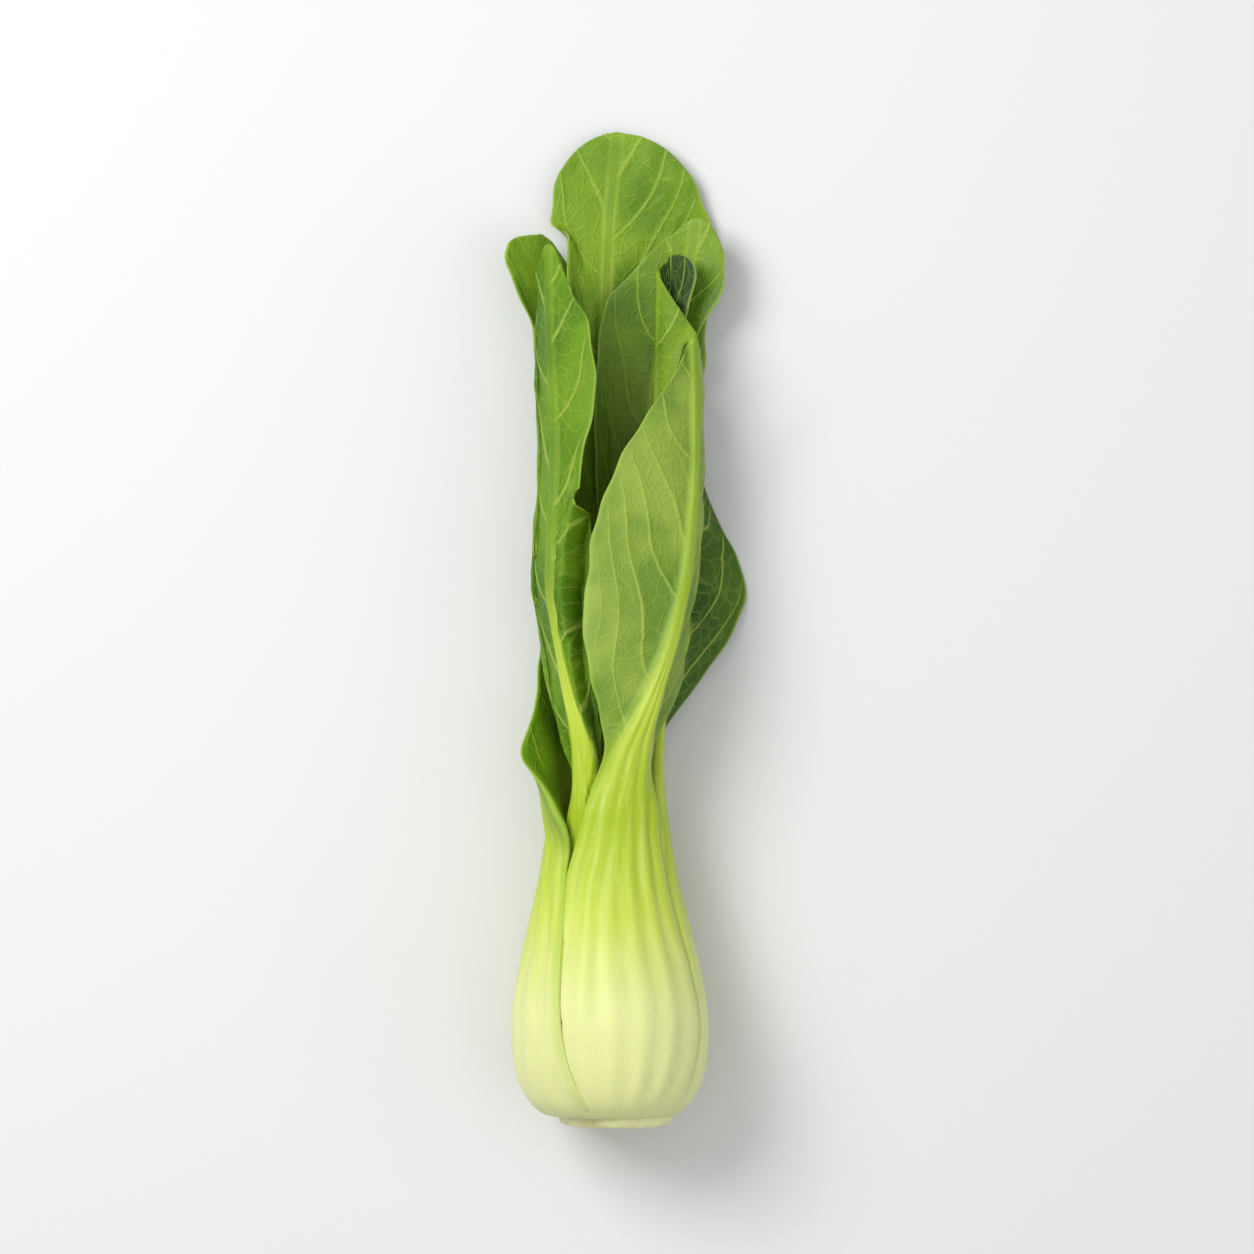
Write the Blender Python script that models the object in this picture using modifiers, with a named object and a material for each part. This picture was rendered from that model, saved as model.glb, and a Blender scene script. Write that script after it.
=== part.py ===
"""A baby bok choy, lying on its side as picked and trimmed.

The head grows along +Y. Seven leaves spring from a short cut stem: four wide outer ones, whose stalks make
the bulb, and three inner ones that show between them. Each leaf has two bodies, one of each colour: a
thick pale stalk that runs on up the back of the leaf as its midrib, and a thin green blade that lies
against the inner side of that midrib.

Row frame: metres, +Z up. The origin is on the table, under the middle of the flat spot on which the bulb
rests. +Y runs from the cut stem to the leaf tips, and +Z faces the side that the photograph shows.
"""

import math

import bmesh
import bpy
import numpy as np

# All sizes below are in millimetres until they are multiplied by MM, and all angles are in degrees.
MM = 0.001

# Driving dimensions
HEAD_LENGTH = 176.5
BULB_RADIUS = 17.2
REST_AT = 17.0  # height of the flat spot's middle above the cut face

# How the leaves are put together
LEAF_GAP = 0.55  # air between one leaf and the next inside it
STALK_GAP = 0.84  # air between a midrib and its own blade
BLADE_THICKNESS = 0.8
BLADE_FLOOR = 1.2  # the lowest that a blade's outer face may lie above the table
STALK_EDGE = 0.8  # thickness of a stalk at its two edges
RIB_HEIGHT = 0.35  # the stalk's long ribs stand this far out
RIBS = 3  # on each half of a stalk
RIBS_FADE = (40.0, 62.0)  # heights between which the ribs run out
FOLD = 4.0  # distance over which a leaf folds at its midrib
WAVE_LENGTH = 27.0  # of a blade's wavy margin
WAVE_RISE = 15.0  # height over which the waves grow to their full size
WAVE_SHIFT = 2.0  # radians by which the right margin's waves differ from the left's
RIB_RISE = 8.0  # height over which the ribs grow to their full size

# Mesh fineness
OUTER_GRID = (12, 22)  # columns and rows of an outer stalk
INNER_GRID = (8, 20)
BLADE_GRID = (10, 16)
ROWS_TO_BASE = 1.25  # more than 1 gathers a stalk's rows towards the bulb
CORNER = 48.0  # angle round the tip at which the grid's corners lie on a blade's round end
BEND_STEPS = 24  # pieces in which the bend from the midrib to the margin is added up
ROW_PROBES = 2000  # pieces in which a stalk's length is measured
STEM_SIDES = 28

# The grid of directions and heights that records how much room the outer leaves leave inside them
ANGLE_STEP = 3.0
HEIGHT_STEP = 1.0
ANGLES = int(360 / ANGLE_STEP)
LEVELS = int(HEAD_LENGTH / HEIGHT_STEP) + 8
OPEN = 30.0  # room where no leaf lies outside
SPREAD = 2  # cells over which one leaf eases under another
SOFTNESS = 0.8
SAMPLES = (101, 261)  # points across and along a leaf when its room is recorded
PROBE = 2.5  # step for measuring the slope of a leaf

# The line that the leaves stand round: (height above the cut face, distance from the row frame's axis)
AXIS_X = [(0, 0.2), (30, 0), (60, -0.3), (90, 0.3), (130, 0.5), (176, 1.0)]
AXIS_Z = [(0, 16.9), (17, 16.95), (30, 16.1), (55, 14.0), (85, 13.0), (120, 12.6), (176, 12.2)]

# The stalks: (height, radius of the outer face) from the cut stem up to the neck
BULB = [(1.7, 9.0), (1.9, 11.2), (2.9, 13.0), (5.0, 14.8), (8.2, 16.1), (12.0, 16.9), (17.0, BULB_RADIUS),
        (21.5, 16.9), (26.5, 16.1), (31.0, 15.1), (36.0, 13.9), (41.5, 12.6), (46.5, 11.7), (52.0, 11.0)]
INNER_BULB = [(5.6, 6.2), (7.2, 8.2), (10.0, 9.6), (14.0, 10.6), (20.0, 10.9), (27.0, 10.6), (36.0, 10.0),
              (45.0, 9.3), (52.0, 9.0)]
HEART_BULB = [(7.8, 2.6), (9.4, 4.6), (12.2, 6.0), (16.2, 7.0), (22.2, 7.3), (29.2, 7.0), (38.2, 6.4)]

# Half widths and thicknesses of a stalk: (height, size)
OUTER_WIDTH = [(1.7, 6.8), (3, 8.8), (5, 11.2), (8, 13.8), (12, 15.8), (18, 17.2), (26, 15.8), (36, 12.6),
               (44, 10.2), (53, 7.8), (60, 6.6), (66, 5.2), (72, 3.2), (80, 1.9), (95, 1.2), (115, 0.8),
               (176, 0.7)]
OUTER_DEPTH = [(1.7, 3.0), (6, 4.4), (16, 5.4), (30, 4.9), (45, 3.3), (60, 2.0), (72, 1.5), (85, 1.2),
               (110, 0.95), (176, 0.8)]
INNER_WIDTH = [(5, 3.2), (12, 7.2), (20, 8.4), (32, 7.6), (45, 6.0), (56, 4.8), (66, 3.2), (76, 1.9),
               (90, 1.3), (115, 0.8), (176, 0.7)]
INNER_DEPTH = [(5, 1.8), (12, 3.4), (30, 3.2), (50, 1.6), (66, 1.3), (85, 1.1), (176, 0.8)]

# The leaves, from the outermost in. Places are heights above the cut face. radius is that of the outer
# face along the midrib and azimuth is the midrib's direction from the head's axis: 0 faces the viewer and
# 90 is to the right. face is the direction that the back of the leaf looks, where that differs. left and
# right are the blade's half widths. turn_* swings a half of the leaf outwards at the midrib, and curl_*
# says how it bends: 1 follows the round of the head, 0 is flat, more than 1 rolls it tighter, and less
# than 0 bends it outwards. lean makes a blade's end climb to the left and fall to the right of its midrib,
# and floor is how low it may lie.
LEAVES = [
    dict(
        name="left_outer_leaf",
        radius=BULB + [(58, 11.2), (66, 12.0), (76, 13.0), (86, 13.6), (128, 13.6), (142, 14.2),
                       (150, 14.8), (158, 15.2)],
        azimuth=[(0, -85), (30, -85), (46, -90), (60, -101), (78, -114), (98, -119), (130, -119),
                 (158, -112)],
        left=[(46, 3), (56, 6), (66, 9), (80, 10.5), (105, 9.4), (132, 8.9), (142.5, 10.7), (150, 9),
              (158, 7)],
        right=[(46, 3), (53, 4), (58, 6.8), (66, 9), (74, 5.6), (84, 5.4), (110, 6.5), (135, 6), (141, 6.2),
               (146, 8.6), (155, 10.5), (158, 14)],
        turn_right=[(48, 0), (56, 25), (64, 58), (70, 50), (80, 8), (120, 0), (140, 15), (150, 38),
                    (158, 45)],
        curl_left=[(50, 1), (66, 0.8), (110, 0.8), (142, 0.6), (158, 0.8)],
        curl_right=[(50, 1), (62, 0.4), (74, 0.5), (90, 1), (130, 1), (150, 0.5)],
        blade_from=46, tip=158, cap=6, midrib_to=144, wave=0.4, phase=0.0, floor=0.0,
    ),
    dict(
        name="front_leaf",
        radius=BULB + [(58, 10.8), (66, 11.4), (76, 13.6), (88, 15.6), (102, 16.4), (118, 16.6),
                       (139, 16.8)],
        azimuth=[(0, 10), (20, 11), (40, 10), (52, 15), (64, 24), (76, 38), (88, 51), (102, 64), (118, 71),
                 (130, 69), (139, 65)],
        face=[(0, 10), (20, 11), (40, 10), (52, 14), (64, 20), (76, 25), (88, 28), (102, 32), (139, 38)],
        left=[(56, 3.6), (64, 5.0), (72, 8.8), (78, 12.6), (84, 16.0), (92, 18.8), (102, 19.6), (110, 17.9),
              (119, 14.8), (124, 11.4), (130, 6.8), (135, 3.6), (139, 2.5)],
        right=[(56, 4), (64, 6), (72, 8), (84, 11), (100, 12), (115, 9.5), (130, 7), (139, 4)],
        turn_right=[(56, 0), (76, -25), (90, -55), (139, -65)],
        curl_left=[(56, 1), (76, 0.7), (110, 0.6), (139, 0.8)],
        curl_right=[(56, 1), (90, 0.4), (139, 0.4)],
        blade_from=57, tip=139, cap=9, midrib_to=131, wave=0.25, phase=1.3,
    ),
    dict(
        name="right_outer_leaf",
        radius=BULB + [(60, 10.2), (69, 9.9), (76, 11.2), (84, 13.9), (95, 16.2), (120, 16.4), (141, 16.0)],
        azimuth=[(0, 96), (50, 96), (64, 91), (80, 90), (95, 94), (131, 100)],
        left=[(56, 4), (66, 8), (78, 9.5), (92, 7.5), (106, 5), (131, 4)],
        right=[(56, 3.5), (64, 5), (70, 6.5), (78, 9.5), (86, 12), (96, 13), (106, 11), (116, 7.5),
               (131, 5)],
        turn_right=[(56, 0), (66, 30), (76, 68), (86, 78), (98, 72), (118, 45), (131, 20)],
        curl_right=[(56, 1), (70, 0.3), (100, 0.3), (131, 0.8)],
        blade_from=57, tip=131, cap=13, midrib_to=118, wave=0.6, phase=2.1,
    ),
    dict(
        name="back_leaf",
        radius=BULB + [(60, 11.6), (74, 12.3), (90, 12.3), (120, 11.7), (150, 11.1), (176, 10.8)],
        azimuth=[(0, -180), (60, -179), (100, -175), (140, -172), (160, -174), (176, -182)],
        left=[(56, 4), (66, 8), (80, 12.5), (110, 16), (140, 18.2), (160, 18.8), (166, 17.7), (176, 17.3)],
        right=[(56, 4), (66, 8), (80, 11.5), (110, 13.5), (140, 12.2), (157, 9.6), (162, 10.6), (168, 12.6),
               (176, 13.5)],
        curl_left=[(56, 1), (80, 0.5), (108, 0.3), (132, 0.12), (147, -0.06), (160, 0.08), (176, 0.1)],
        curl_right=[(56, 1), (80, 0.5), (120, 0.3), (160, 0.1), (176, 0.1)],
        blade_from=57, tip=HEAD_LENGTH, cap=19, midrib_to=160, wave=0.2, phase=0.7, floor=0.0,
    ),
    dict(
        name="left_inner_leaf", inner=True,
        radius=INNER_BULB + [(60, 9.6), (70, 11.8), (84, 13.8), (98, 15.2), (120, 14.2), (140, 15.0),
                             (154, 15.2)],
        azimuth=[(0, -44), (40, -36), (56, -27), (66, -25), (76, -35), (88, -46), (96, -50), (128, -51),
                 (154, -54)],
        left=[(53, 3.5), (57, 6), (61, 9), (68, 11.5), (76, 13), (96, 13.5), (120, 12.5), (140, 10.5),
              (154, 9)],
        right=[(54, 3), (64, 5), (76, 6), (96, 8), (104, 8.6), (110, 6.6), (116, 6.4), (124, 8.6), (132, 10),
               (142, 10), (147, 7.5), (154, 6)],
        blade_from=53, tip=155.5, cap=22, midrib_to=138, wave=0.4, phase=3.0,
    ),
    dict(
        name="right_inner_leaf", inner=True,
        radius=INNER_BULB + [(60, 8.6), (80, 9.4), (110, 10.6), (135, 12.0), (160, 16.0)],
        azimuth=[(0, 150), (50, 147), (90, 142), (130, 134), (163, 112)],
        face=[(0, 150), (60, 150), (100, 156), (163, 166)],
        left=[(58, 3), (72, 4), (95, 4), (125, 4), (140, 6), (150, 8.5), (161, 8)],
        right=[(58, 3), (72, 6), (95, 10), (130, 14), (146, 13.8), (151, 12), (156, 10.3), (161, 6)],
        curl_left=[(56, 1), (90, 0.6), (165, 0.3)],
        curl_right=[(56, 1), (90, 0.5), (165, 0.3)],
        blade_from=58, tip=161, cap=19, midrib_to=146, wave=0.3, phase=4.4,
    ),
    dict(
        name="rolled_leaf", inner=True,
        radius=HEART_BULB + [(50, 4.6), (66, 2.6), (80, 2.4), (96, 4.0), (112, 6.5), (151, 6.9)],
        azimuth=[(0, -62), (50, -58), (66, -40), (80, 5), (96, 60), (112, 92), (151, 92)],
        face=[(0, -62), (66, -62), (100, -90), (151, -90)],
        left=[(76, 2), (92, 4), (110, 5.5), (124, 6), (136, 11), (145, 15.5), (151, 16.5)],
        right=[(76, 2), (92, 4), (110, 5.5), (124, 6), (134, 9), (142, 11.5), (151, 12)],
        turn_left=[(76, 0), (96, -45), (116, -110), (151, -110)],
        turn_right=[(76, 0), (96, -45), (116, -104), (151, -104)],
        curl_left=[(60, 1), (110, 0)],
        curl_right=[(60, 1), (110, 0)],
        blade_from=76, tip=151.5, cap=9, lean=(0.5, 0.85), gap=1.0, midrib_to=112, wave=0.15, phase=5.2,
    ),
]

# The cut stem that carries the leaves: (radius, height), from the middle of its top down to its cut face
STEM = [(0, 7.4), (2.0, 7.2), (3.6, 6.4), (5.2, 5.0), (7.2, 4.5), (7.3, 1.5), (10.2, 1.4), (10.8, 1.1),
        (10.7, 0.35), (9.9, 0.0), (0, 0.25)]

LEAF_COLOURS = {"stalk": (0.72, 0.80, 0.33), "blade": (0.16, 0.31, 0.02)}
STEM_COLOUR = (0.61, 0.62, 0.26)


def through(points):
    """A smooth curve through (place, value) points that is level past both ends and never overshoots."""
    x, y = np.array(points, float).T
    step = np.diff(x)
    rise = np.diff(y) / step
    slope = np.zeros(len(x))
    same_way = rise[1:] * rise[:-1] > 0
    before = np.where(same_way, rise[:-1], 1)
    after = np.where(same_way, rise[1:], 1)
    near, far = 2 * step[1:] + step[:-1], step[1:] + 2 * step[:-1]
    slope[1:-1] = np.where(same_way, (near + far) / (near / before + far / after), 0)

    def at(place):
        place = np.clip(place, x[0], x[-1])
        i = np.clip(np.searchsorted(x, place) - 1, 0, len(x) - 2)
        t = (place - x[i]) / step[i]
        start = y[i] * (1 + 2 * t) * (1 - t) ** 2 + slope[i] * step[i] * t * (1 - t) ** 2
        end = y[i + 1] * t * t * (3 - 2 * t) + slope[i + 1] * step[i] * t * t * (t - 1)
        return start + end

    return at


axis_x, axis_z = through(AXIS_X), through(AXIS_Z)


def eased(value):
    """0 below 0, 1 above 1, and smooth between."""
    value = np.clip(value, 0, 1)
    return value * value * (3 - 2 * value)


class Room:
    """How far from the head's axis the next leaf may reach, in each direction and at each height."""

    def __init__(self):
        self.found = np.full((LEVELS, ANGLES), OPEN)
        self.smooth = self.found.copy()

    def add(self, points):
        """Takes up the lowest radius that these points leave free in each cell."""
        height = points[:, 1] + REST_AT
        x = points[:, 0] - axis_x(height)
        z = points[:, 2] - axis_z(height)
        level = np.clip(np.round(height / HEIGHT_STEP).astype(int), 0, LEVELS - 1)
        angle = np.round(np.degrees(np.arctan2(x, z)) / ANGLE_STEP).astype(int) % ANGLES
        np.minimum.at(self.found, (level, angle), np.hypot(x, z))
        self.smooth = self.blurred(self.lowered(self.found))

    @staticmethod
    def shifts(field, reach):
        """The field moved by each of the steps up to reach, both ways."""
        padded = np.pad(field, ((reach, reach), (0, 0)), mode="edge")
        for up in range(2 * reach + 1):
            for round_ in range(-reach, reach + 1):
                yield np.roll(padded[up:up + LEVELS], round_, axis=1)

    def lowered(self, field):
        return np.minimum.reduce(list(self.shifts(field, SPREAD)))

    def blurred(self, field):
        return np.mean(list(self.shifts(field, SPREAD - 1)), axis=0)

    def at(self, angle, height):
        level = np.clip(height / HEIGHT_STEP, 0, LEVELS - 1.001)
        turn = (np.degrees(angle) / ANGLE_STEP) % ANGLES
        i, j = np.floor(level).astype(int), np.floor(turn).astype(int)
        up, across = level - i, turn - j
        field, j, k = self.smooth, j % ANGLES, (j + 1) % ANGLES
        low = field[i, j] * (1 - across) + field[i, k] * across
        high = field[i + 1, j] * (1 - across) + field[i + 1, k] * across
        return low * (1 - up) + high * up


class Leaf:
    """One leaf as a surface: a point of it for each distance across from the midrib and height."""

    def __init__(self, spec, room):
        self.name, self.inner, self.room = spec["name"], spec.get("inner", False), room
        self.radius, self.azimuth = through(spec["radius"]), through(spec["azimuth"])
        self.face = through(spec.get("face", spec["azimuth"]))
        self.blade_left, self.blade_right = through(spec["left"]), through(spec["right"])
        self.turns = [through(spec.get("turn_" + side, [(0, 0), (1, 0)])) for side in ("left", "right")]
        self.curls = [through(spec.get("curl_" + side, [(0, 1), (1, 1)])) for side in ("left", "right")]
        self.stalk_width = through(INNER_WIDTH if self.inner else OUTER_WIDTH)
        self.stalk_depth = through(INNER_DEPTH if self.inner else OUTER_DEPTH)
        self.base, self.gap = spec["radius"][0][0], spec.get("gap", LEAF_GAP)
        self.blade_from, self.tip, self.cap = spec["blade_from"], spec["tip"], spec["cap"]
        self.midrib_to, self.wave, self.phase = spec["midrib_to"], spec["wave"], spec["phase"]
        self.lean, self.floor = spec.get("lean", (0.0, 0.0)), spec.get("floor", BLADE_FLOOR)

    def blade_width(self, across, height):
        return np.where(across < 0, self.blade_left(height), self.blade_right(height))

    def section(self, across, height):
        """The leaf's cross section, seen along the head: x and z from the head's axis."""
        radius = self.radius(height)
        azimuth, face = np.radians(self.azimuth(height)), np.radians(self.face(height))
        is_left = across < 0
        turn = np.radians(np.where(is_left, self.turns[0](height), self.turns[1](height)))
        bend = np.where(is_left, self.curls[0](height), self.curls[1](height)) / radius
        far = np.abs(across)
        along, inward = np.zeros_like(far), np.zeros_like(far)
        for i in range(BEND_STEPS):
            here = far * (i + 0.5) / BEND_STEPS
            slope = bend * here - turn * (1 - np.exp(-here / FOLD))
            along = along + np.cos(slope) * far / BEND_STEPS
            inward = inward + np.sin(slope) * far / BEND_STEPS
        along = np.where(is_left, -along, along)
        x = radius * np.sin(azimuth) + along * np.cos(face) - inward * np.sin(face)
        z = radius * np.cos(azimuth) - along * np.sin(face) - inward * np.cos(face)
        return x, z

    def outer(self, across, height):
        """The leaf's outer face, kept inside the leaves outside it."""
        x, z = self.section(across, height)
        reach, angle = np.hypot(x, z), np.arctan2(x, z)
        share = across / self.stalk_width(height)
        ribs = np.where(np.abs(share) < 1, 0.5 - 0.5 * np.cos(2 * np.pi * RIBS * share), 0)
        fade = 1 - eased((height - RIBS_FADE[0]) / (RIBS_FADE[1] - RIBS_FADE[0]))
        reach = reach + RIB_HEIGHT * ribs * fade * eased((height - self.base) / RIB_RISE)
        edge = np.abs(across) / self.blade_width(across, height)
        rise = eased((height - self.blade_from) / WAVE_RISE)
        shift = np.where(across < 0, 0, WAVE_SHIFT)
        wave = np.sin(2 * np.pi * height / WAVE_LENGTH + self.phase + shift)
        reach = reach + self.wave * rise * edge ** 3 * wave
        limit = self.room.at(angle, height) - self.gap
        reach = (reach + limit - np.hypot(reach - limit, SOFTNESS)) / 2
        x = axis_x(height) + reach * np.sin(angle)
        z = axis_z(height) + reach * np.cos(angle)
        return np.stack([x, height - REST_AT, z], axis=-1)

    def normal(self, across, height):
        """The direction out of the leaf's outer face."""
        sideways = self.outer(across + PROBE, height) - self.outer(across - PROBE, height)
        upward = self.outer(across, height + PROBE) - self.outer(across, height - PROBE)
        found = np.cross(sideways, upward)
        return found / np.linalg.norm(found, axis=-1, keepdims=True)

    def stalk_rows(self):
        """Heights at even steps along the stalk, closer together round the bulb."""
        height = np.linspace(self.base, self.midrib_to, ROW_PROBES)
        length = np.append(0, np.cumsum(np.hypot(np.diff(height), np.diff(self.radius(height)))))
        return lambda share: np.interp(length[-1] * share ** ROWS_TO_BASE, length, height)

    def stalk(self, u, v):
        """Where the stalk's grid lies, flat where it meets the table, and its thickness there."""
        height = self.stalk_rows()(v)
        across = u * self.stalk_width(height)
        depth = self.stalk_depth(height)
        edge = np.minimum(STALK_EDGE, 0.8 * depth)
        points = self.outer(across, height)
        points[..., 2] = np.maximum(points[..., 2], 0)
        return points, edge + (depth - edge) * (1 - u * u)

    def outline(self, u, v):
        """Across and height for the blade's grid: its sides, and a round end past the corners."""
        corner = math.radians(CORNER)
        shoulder = self.tip - self.cap
        side_end = shoulder + self.cap * math.cos(corner)
        side = np.where(u < 0, -1.0, 1.0)
        share = np.abs(u)

        def width(height):
            past = np.clip((height - shoulder) / self.cap, 0, 1)
            return side * self.blade_width(side, height) * np.sqrt(1 - past * past)

        side_height = self.blade_from + v * (side_end - self.blade_from)
        middle_height = self.blade_from + v * (self.tip - self.blade_from)
        end_height = shoulder + self.cap * np.cos(share * corner)
        end_across = side * self.blade_width(side, end_height) * np.sin(share * corner)
        start_across = share * width(np.full_like(v, self.blade_from))
        last = width(np.full_like(v, side_end))
        across = share * width(side_height) + (1 - v) * start_across + v * end_across
        across = across - share * ((1 - v) * start_across / np.maximum(share, 1e-9) + v * last)
        height = (1 - share) * middle_height + share * side_height + (1 - v) * self.blade_from
        height = height + v * end_height - (1 - v) * self.blade_from
        height = height - v * ((1 - share) * self.tip + share * side_end)
        return across, height - np.where(across < 0, *self.lean) * across * v * v

    def blade(self, u, v):
        """Where the blade's grid lies, against the inner side of the midrib, and its thickness."""
        across, height = self.outline(u, v)
        inside = self.stalk_depth(height) + STALK_GAP
        points = self.outer(across, height) - inside[..., None] * self.normal(across, height)
        points[..., 2] = np.maximum(points[..., 2], self.floor)
        return points, np.full_like(u, BLADE_THICKNESS)

    def fill_room(self):
        """Records both faces of the stalk and of the blade."""
        u, v = np.meshgrid(np.linspace(-1, 1, SAMPLES[0]), np.linspace(0, 1, SAMPLES[1]))
        u, v = u.ravel(), v.ravel()
        height = self.stalk_rows()(v)
        faces = []
        for across, height, (points, depth) in (
            (u * self.stalk_width(height), height, self.stalk(u, v)),
            (*self.outline(u, v), self.blade(u, v)),
        ):
            faces += [points, points - depth[..., None] * self.normal(across, height)]
        for points in faces:
            self.room.add(points)


def material(name, colour, roughness):
    made = bpy.data.materials.new(name)
    made.use_nodes = True
    shader = made.node_tree.nodes["Principled BSDF"]
    shader.inputs["Base Color"].default_value = (*colour, 1.0)
    shader.inputs["Roughness"].default_value = roughness
    shader.inputs["Metallic"].default_value = 0.0
    return made


def sheet(collection, name, grid, shape, look):
    """A grid bent to shape(u, v), with u from -1 to 1 and v from 0 to 1, and thickened inwards."""
    bm = bmesh.new()
    bmesh.ops.create_grid(bm, x_segments=grid[0], y_segments=grid[1], size=1)
    flat = np.array([vertex.co[:2] for vertex in bm.verts])
    points, depth = shape(flat[:, 0], (flat[:, 1] + 1) / 2)
    for vertex, point in zip(bm.verts, points):
        vertex.co = point * MM
    mesh = bpy.data.meshes.new(name)
    bm.to_mesh(mesh)
    bm.free()
    mesh.shade_smooth()
    mesh.materials.append(look)
    obj = bpy.data.objects.new(name, mesh)
    collection.objects.link(obj)
    thickness = obj.vertex_groups.new(name="thickness")
    for i, size in enumerate(depth):
        thickness.add([i], float(size / depth.max()), "REPLACE")
    obj.modifiers.new("Triangulate", "TRIANGULATE").quad_method = "SHORTEST_DIAGONAL"
    shell = obj.modifiers.new("Solidify", "SOLIDIFY")
    shell.thickness = float(depth.max()) * MM
    shell.offset = -1
    shell.vertex_group = thickness.name
    return obj


def cut_stem(collection):
    """The short stem under the leaves, turned from its profile and laid along +Y."""
    bm = bmesh.new()
    points = [bm.verts.new((radius * MM, 0, height * MM)) for radius, height in STEM]
    for first, second in zip(points, points[1:]):
        bm.edges.new((first, second))
    mesh = bpy.data.meshes.new("cut_base")
    bm.to_mesh(mesh)
    bm.free()
    mesh.materials.append(material("cut_base", STEM_COLOUR, 0.6))
    obj = bpy.data.objects.new("cut_base", mesh)
    collection.objects.link(obj)
    turned = obj.modifiers.new("Screw", "SCREW")
    turned.steps = turned.render_steps = STEM_SIDES
    turned.use_merge_vertices = True
    turned.merge_threshold = 0.0001
    obj.location = (float(axis_x(0)) * MM, -REST_AT * MM, float(axis_z(0)) * MM)
    obj.rotation_euler = (math.radians(-90), 0, 0)
    return obj


def bok_choy():
    for obj in list(bpy.data.objects):
        bpy.data.objects.remove(obj)
    collection = bpy.data.collections.new("bok_choy")
    bpy.context.scene.collection.children.link(collection)
    cut_stem(collection)
    room = Room()
    for spec in LEAVES:
        leaf = Leaf(spec, room)
        stalk, blade = leaf.name + "_stalk", leaf.name + "_blade"
        grid = INNER_GRID if leaf.inner else OUTER_GRID
        sheet(collection, stalk, grid, leaf.stalk, material(stalk, LEAF_COLOURS["stalk"], 0.35))
        sheet(collection, blade, BLADE_GRID, leaf.blade, material(blade, LEAF_COLOURS["blade"], 0.45))
        leaf.fill_room()


bok_choy()
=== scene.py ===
"""The look of a baby bok choy, lying on its side and seen from straight above.

Each leaf is one thin closed skin, in which stalk, midrib and blade are grown together. It keeps the form of
the two solids that it replaces, on a finer grid, with veins, fibres and bites in the margin added. Colours
and gloss come from numbers kept at every point: its place on the leaf, and where the veins run.
"""

import math

import bmesh
import bpy
import numpy as np
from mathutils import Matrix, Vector


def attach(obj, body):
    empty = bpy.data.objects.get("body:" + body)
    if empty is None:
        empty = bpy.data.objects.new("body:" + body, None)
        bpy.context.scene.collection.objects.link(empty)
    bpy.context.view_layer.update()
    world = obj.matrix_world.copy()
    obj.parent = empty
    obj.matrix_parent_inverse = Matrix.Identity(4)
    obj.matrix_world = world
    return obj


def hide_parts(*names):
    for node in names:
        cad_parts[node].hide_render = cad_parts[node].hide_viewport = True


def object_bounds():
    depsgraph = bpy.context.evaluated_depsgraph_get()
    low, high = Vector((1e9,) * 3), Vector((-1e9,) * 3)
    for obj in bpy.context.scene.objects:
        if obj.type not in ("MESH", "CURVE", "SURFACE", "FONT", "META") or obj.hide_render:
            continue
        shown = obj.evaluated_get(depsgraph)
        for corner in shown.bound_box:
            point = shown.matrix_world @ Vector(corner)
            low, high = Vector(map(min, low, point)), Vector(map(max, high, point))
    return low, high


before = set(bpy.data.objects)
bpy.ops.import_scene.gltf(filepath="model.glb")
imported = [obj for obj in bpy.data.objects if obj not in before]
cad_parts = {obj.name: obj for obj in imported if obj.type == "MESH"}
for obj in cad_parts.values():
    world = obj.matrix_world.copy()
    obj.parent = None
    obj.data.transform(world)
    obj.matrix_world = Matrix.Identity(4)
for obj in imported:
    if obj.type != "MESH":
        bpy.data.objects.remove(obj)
cad_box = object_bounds()

# All sizes below are in millimetres until they are multiplied by MM, and all angles are in degrees.
MM = 0.001

# Driving dimensions
HEAD_LENGTH = 176.5
BULB_RADIUS = 17.2
REST_AT = 17.0  # height of the flat spot's middle above the cut face

# How the leaves are put together
LEAF_GAP = 0.55  # air between one leaf and the next inside it
STALK_GAP = 0.84  # air between a midrib and its own blade
BLADE_THICKNESS = 0.8
BLADE_FLOOR = 1.2  # the lowest that a blade's outer face may lie above the table
STALK_EDGE = 0.8  # thickness of a stalk at its two edges
EDGE_SHARE = 0.8  # of the stalk's depth, where that is less
RIB_HEIGHT = 0.35  # the stalk's long ribs stand this far out
RIBS = 3  # on each half of a stalk
RIBS_FADE = (40.0, 62.0)  # heights between which the ribs run out
FOLD = 4.0  # distance over which a leaf folds at its midrib
WAVE_LENGTH = 27.0  # of a blade's wavy margin
WAVE_RISE = 15.0  # height over which the waves grow to their full size
WAVE_SHIFT = 2.0  # radians by which the right margin's waves differ from the left's
RIB_RISE = 8.0  # height over which the ribs grow to their full size

# Mesh fineness
ROWS_TO_BASE = 1.25  # more than 1 gathers a stalk's rows towards the bulb
CORNER = 48.0  # angle round the tip at which the grid's corners lie on a blade's round end
BEND_STEPS = 24  # pieces in which the bend from the midrib to the margin is added up
ROW_PROBES = 2000  # pieces in which a stalk's length is measured
TINY = 1e-9  # keeps a division away from zero

# The grid of directions and heights that records how much room the outer leaves leave inside them
ANGLE_STEP = 3.0
HEIGHT_STEP = 1.0
ANGLES = int(360 / ANGLE_STEP)
LEVELS = int(HEAD_LENGTH / HEIGHT_STEP) + 8
OPEN = 30.0  # room where no leaf lies outside
SPREAD = 2  # cells over which one leaf eases under another
SOFTNESS = 0.8
CLOSE_BELOW = 56.0  # height below which the stalks lie close along one another
SAMPLES = (101, 261)  # points across and along a leaf when its room is recorded
PROBE = 2.5  # step for measuring the slope of a leaf

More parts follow.
